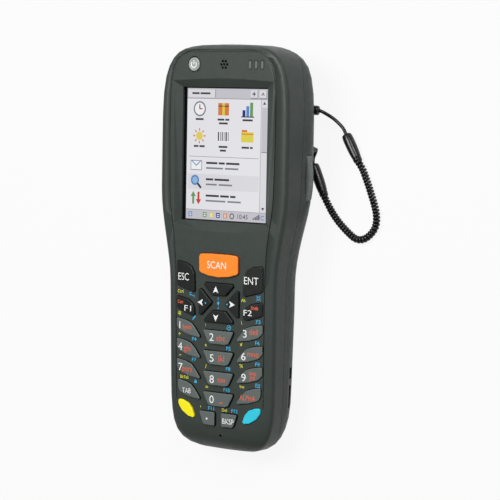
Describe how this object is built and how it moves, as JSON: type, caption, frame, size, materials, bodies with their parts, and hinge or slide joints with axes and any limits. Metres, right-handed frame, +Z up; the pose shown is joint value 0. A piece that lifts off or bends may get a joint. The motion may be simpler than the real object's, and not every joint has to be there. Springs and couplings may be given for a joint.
{
  "type": "portable barcode data terminal",
  "caption": "Hand-held data terminal with a small colour touch screen, a moulded keypad with bright shift keys, a rear scanner nose and a stylus on a curly black tether.",
  "frame": {"origin": "centre of the flat rest face under the scanner nose, on the surface that the terminal lies on", "axes": "+Z up, out of the display face as the terminal lies on its back; +Y towards the top end of the body; +X to the display's right"},
  "size_m": [0.0839, 0.152, 0.0319],
  "materials": {
    "front_housing_plastic": "fine-grained moulded plastic, dark green-grey",
    "rear_housing_plastic": "fine-grained moulded plastic, green-grey",
    "orange_key": "satin moulded key, orange",
    "yellow_key": "satin moulded key, yellow",
    "blue_key": "satin moulded key, light blue",
    "dark_key": "satin moulded key, near black",
    "grey_key": "satin moulded key, mid grey",
    "power_key": "satin moulded key, silver grey",
    "side_key": "soft moulded key, light grey",
    "black_plastic": "satin black",
    "screw_steel": "plain steel",
    "display_glass": "clear touch panel",
    "gasket_rubber": "matt black",
    "metal_frame": "plain metal",
    "board_green": "solder-masked board",
    "mat_rubber": "silicone keypad mat",
    "light_pipe": "frosted clear plastic",
    "scan_glass": "dark red filter window",
    "pack_plastic": "dark grey pack",
    "contact_gold": "gold-plated contacts",
    "tether_cord": "satin black cord"
  },
  "bodies": {
    "terminal": {"front_housing": "front_housing_plastic", "rear_housing": "rear_housing_plastic", "housing_screws": "screw_steel", "touch_panel": "display_glass", "display_gasket": "gasket_rubber", "lcd_module": "metal_frame", "main_board": "board_green", "keypad_mat": "mat_rubber", "keypad_board": "board_green", "speaker": "black_plastic", "microphone": "metal_frame", "led_light_pipe": "light_pipe", "scan_engine": "black_plastic", "scan_window": "scan_glass", "radio_module": "metal_frame", "backup_cell": "screw_steel", "battery_pack": "pack_plastic", "battery_contacts": "contact_gold", "dock_contacts": "contact_gold", "side_switches": "metal_frame", "stylus_silo": "black_plastic", "tether_coil": "tether_cord", "ferrule_lower": "tether_cord", "tether_loop": "tether_cord", "tether_knot": "tether_cord"},
    "key_scan_body": {"key_scan": "orange_key"},
    "key_esc_body": {"key_esc": "dark_key"},
    "key_ent_body": {"key_ent": "dark_key"},
    "key_up_body": {"key_up": "dark_key"},
    "key_left_body": {"key_left": "dark_key"},
    "key_right_body": {"key_right": "dark_key"},
    "key_down_body": {"key_down": "dark_key"},
    "key_f1_body": {"key_f1": "dark_key"},
    "key_f2_body": {"key_f2": "dark_key"},
    "key_1_body": {"key_1": "grey_key"},
    "key_2_body": {"key_2": "grey_key"},
    "key_3_body": {"key_3": "grey_key"},
    "key_4_body": {"key_4": "grey_key"},
    "key_5_body": {"key_5": "grey_key"},
    "key_6_body": {"key_6": "grey_key"},
    "key_7_body": {"key_7": "grey_key"},
    "key_8_body": {"key_8": "grey_key"},
    "key_9_body": {"key_9": "grey_key"},
    "key_tab_body": {"key_tab": "grey_key"},
    "key_0_body": {"key_0": "grey_key"},
    "key_alpha_body": {"key_alpha": "grey_key"},
    "key_yellow_body": {"key_yellow": "yellow_key"},
    "key_dot_body": {"key_dot": "grey_key"},
    "key_bksp_body": {"key_bksp": "grey_key"},
    "key_blue_body": {"key_blue": "blue_key"},
    "key_power_body": {"key_power": "power_key"},
    "side_key_right_body": {"side_key_right": "side_key"},
    "side_key_left_body": {"side_key_left": "side_key"},
    "battery_cover_body": {"battery_cover": "rear_housing_plastic"},
    "battery_latch_body": {"battery_latch": "black_plastic"},
    "stylus_body": {"stylus": "black_plastic", "tether_bead": "tether_cord", "tether_lead": "tether_cord", "ferrule_upper": "tether_cord"}
  },
  "joints": [
    {"name": "key_scan_press", "type": "slide", "parent": "terminal", "child": "key_scan_body", "axis": [0, 0.1207, -0.9927], "range_m": [0, 0.0007], "stiffness_N_per_m": 600},
    {"name": "key_esc_press", "type": "slide", "parent": "terminal", "child": "key_esc_body", "axis": [0, 0.1207, -0.9927], "range_m": [0, 0.0007], "stiffness_N_per_m": 600},
    {"name": "key_ent_press", "type": "slide", "parent": "terminal", "child": "key_ent_body", "axis": [0, 0.1207, -0.9927], "range_m": [0, 0.0007], "stiffness_N_per_m": 600},
    {"name": "key_up_press", "type": "slide", "parent": "terminal", "child": "key_up_body", "axis": [0, 0.1207, -0.9927], "range_m": [0, 0.0007], "stiffness_N_per_m": 600},
    {"name": "key_left_press", "type": "slide", "parent": "terminal", "child": "key_left_body", "axis": [0, 0.1207, -0.9927], "range_m": [0, 0.0007], "stiffness_N_per_m": 600},
    {"name": "key_right_press", "type": "slide", "parent": "terminal", "child": "key_right_body", "axis": [0, 0.1207, -0.9927], "range_m": [0, 0.0007], "stiffness_N_per_m": 600},
    {"name": "key_down_press", "type": "slide", "parent": "terminal", "child": "key_down_body", "axis": [0, 0.1207, -0.9927], "range_m": [0, 0.0007], "stiffness_N_per_m": 600},
    {"name": "key_f1_press", "type": "slide", "parent": "terminal", "child": "key_f1_body", "axis": [0, 0.1207, -0.9927], "range_m": [0, 0.0007], "stiffness_N_per_m": 600},
    {"name": "key_f2_press", "type": "slide", "parent": "terminal", "child": "key_f2_body", "axis": [0, 0.1207, -0.9927], "range_m": [0, 0.0007], "stiffness_N_per_m": 600},
    {"name": "key_1_press", "type": "slide", "parent": "terminal", "child": "key_1_body", "axis": [0, 0.1207, -0.9927], "range_m": [0, 0.0007], "stiffness_N_per_m": 600},
    {"name": "key_2_press", "type": "slide", "parent": "terminal", "child": "key_2_body", "axis": [0, 0.1207, -0.9927], "range_m": [0, 0.0007], "stiffness_N_per_m": 600},
    {"name": "key_3_press", "type": "slide", "parent": "terminal", "child": "key_3_body", "axis": [0, 0.1207, -0.9927], "range_m": [0, 0.0007], "stiffness_N_per_m": 600},
    {"name": "key_4_press", "type": "slide", "parent": "terminal", "child": "key_4_body", "axis": [0, 0.1207, -0.9927], "range_m": [0, 0.0007], "stiffness_N_per_m": 600},
    {"name": "key_5_press", "type": "slide", "parent": "terminal", "child": "key_5_body", "axis": [0, 0.1207, -0.9927], "range_m": [0, 0.0007], "stiffness_N_per_m": 600},
    {"name": "key_6_press", "type": "slide", "parent": "terminal", "child": "key_6_body", "axis": [0, 0.1207, -0.9927], "range_m": [0, 0.0007], "stiffness_N_per_m": 600},
    {"name": "key_7_press", "type": "slide", "parent": "terminal", "child": "key_7_body", "axis": [0, 0.1207, -0.9927], "range_m": [0, 0.0007], "stiffness_N_per_m": 600},
    {"name": "key_8_press", "type": "slide", "parent": "terminal", "child": "key_8_body", "axis": [0, 0.1207, -0.9927], "range_m": [0, 0.0007], "stiffness_N_per_m": 600},
    {"name": "key_9_press", "type": "slide", "parent": "terminal", "child": "key_9_body", "axis": [0, 0.1207, -0.9927], "range_m": [0, 0.0007], "stiffness_N_per_m": 600},
    {"name": "key_tab_press", "type": "slide", "parent": "terminal", "child": "key_tab_body", "axis": [0, 0.1207, -0.9927], "range_m": [0, 0.0007], "stiffness_N_per_m": 600},
    {"name": "key_0_press", "type": "slide", "parent": "terminal", "child": "key_0_body", "axis": [0, 0.1207, -0.9927], "range_m": [0, 0.0007], "stiffness_N_per_m": 600},
    {"name": "key_alpha_press", "type": "slide", "parent": "terminal", "child": "key_alpha_body", "axis": [0, 0.1207, -0.9927], "range_m": [0, 0.0007], "stiffness_N_per_m": 600},
    {"name": "key_yellow_press", "type": "slide", "parent": "terminal", "child": "key_yellow_body", "axis": [0, 0.1207, -0.9927], "range_m": [0, 0.0007], "stiffness_N_per_m": 600},
    {"name": "key_dot_press", "type": "slide", "parent": "terminal", "child": "key_dot_body", "axis": [0, 0.1207, -0.9927], "range_m": [0, 0.0007], "stiffness_N_per_m": 600},
    {"name": "key_bksp_press", "type": "slide", "parent": "terminal", "child": "key_bksp_body", "axis": [0, 0.1207, -0.9927], "range_m": [0, 0.0007], "stiffness_N_per_m": 600},
    {"name": "key_blue_press", "type": "slide", "parent": "terminal", "child": "key_blue_body", "axis": [0, 0.1207, -0.9927], "range_m": [0, 0.0007], "stiffness_N_per_m": 600},
    {"name": "key_power_press", "type": "slide", "parent": "terminal", "child": "key_power_body", "axis": [0, 0.0999, -0.995], "range_m": [0, 0.0005], "stiffness_N_per_m": 800},
    {"name": "side_key_right_press", "type": "slide", "parent": "terminal", "child": "side_key_right_body", "axis": [-1, 0, 0], "range_m": [0, 0.0006], "stiffness_N_per_m": 1200},
    {"name": "side_key_left_press", "type": "slide", "parent": "terminal", "child": "side_key_left_body", "axis": [1, 0, 0], "range_m": [0, 0.0006], "stiffness_N_per_m": 1200},
    {"name": "battery_cover_hinge", "type": "hinge", "parent": "terminal", "child": "battery_cover_body", "pos_m": [0, -0.12098, 0.00022], "axis": [-1, 0, 0], "range_deg": [0, 60]},
    {"name": "battery_latch_slide", "type": "slide", "parent": "terminal", "child": "battery_latch_body", "axis": [0, 1, -0.0094], "range_m": [0, 0.0025], "stiffness_N_per_m": 250},
    {"name": "stylus_draw", "type": "slide", "parent": "terminal", "child": "stylus_body", "axis": [0.0248, 0.9993, -0.0272], "range_m": [0, 0.08]}
  ]
}
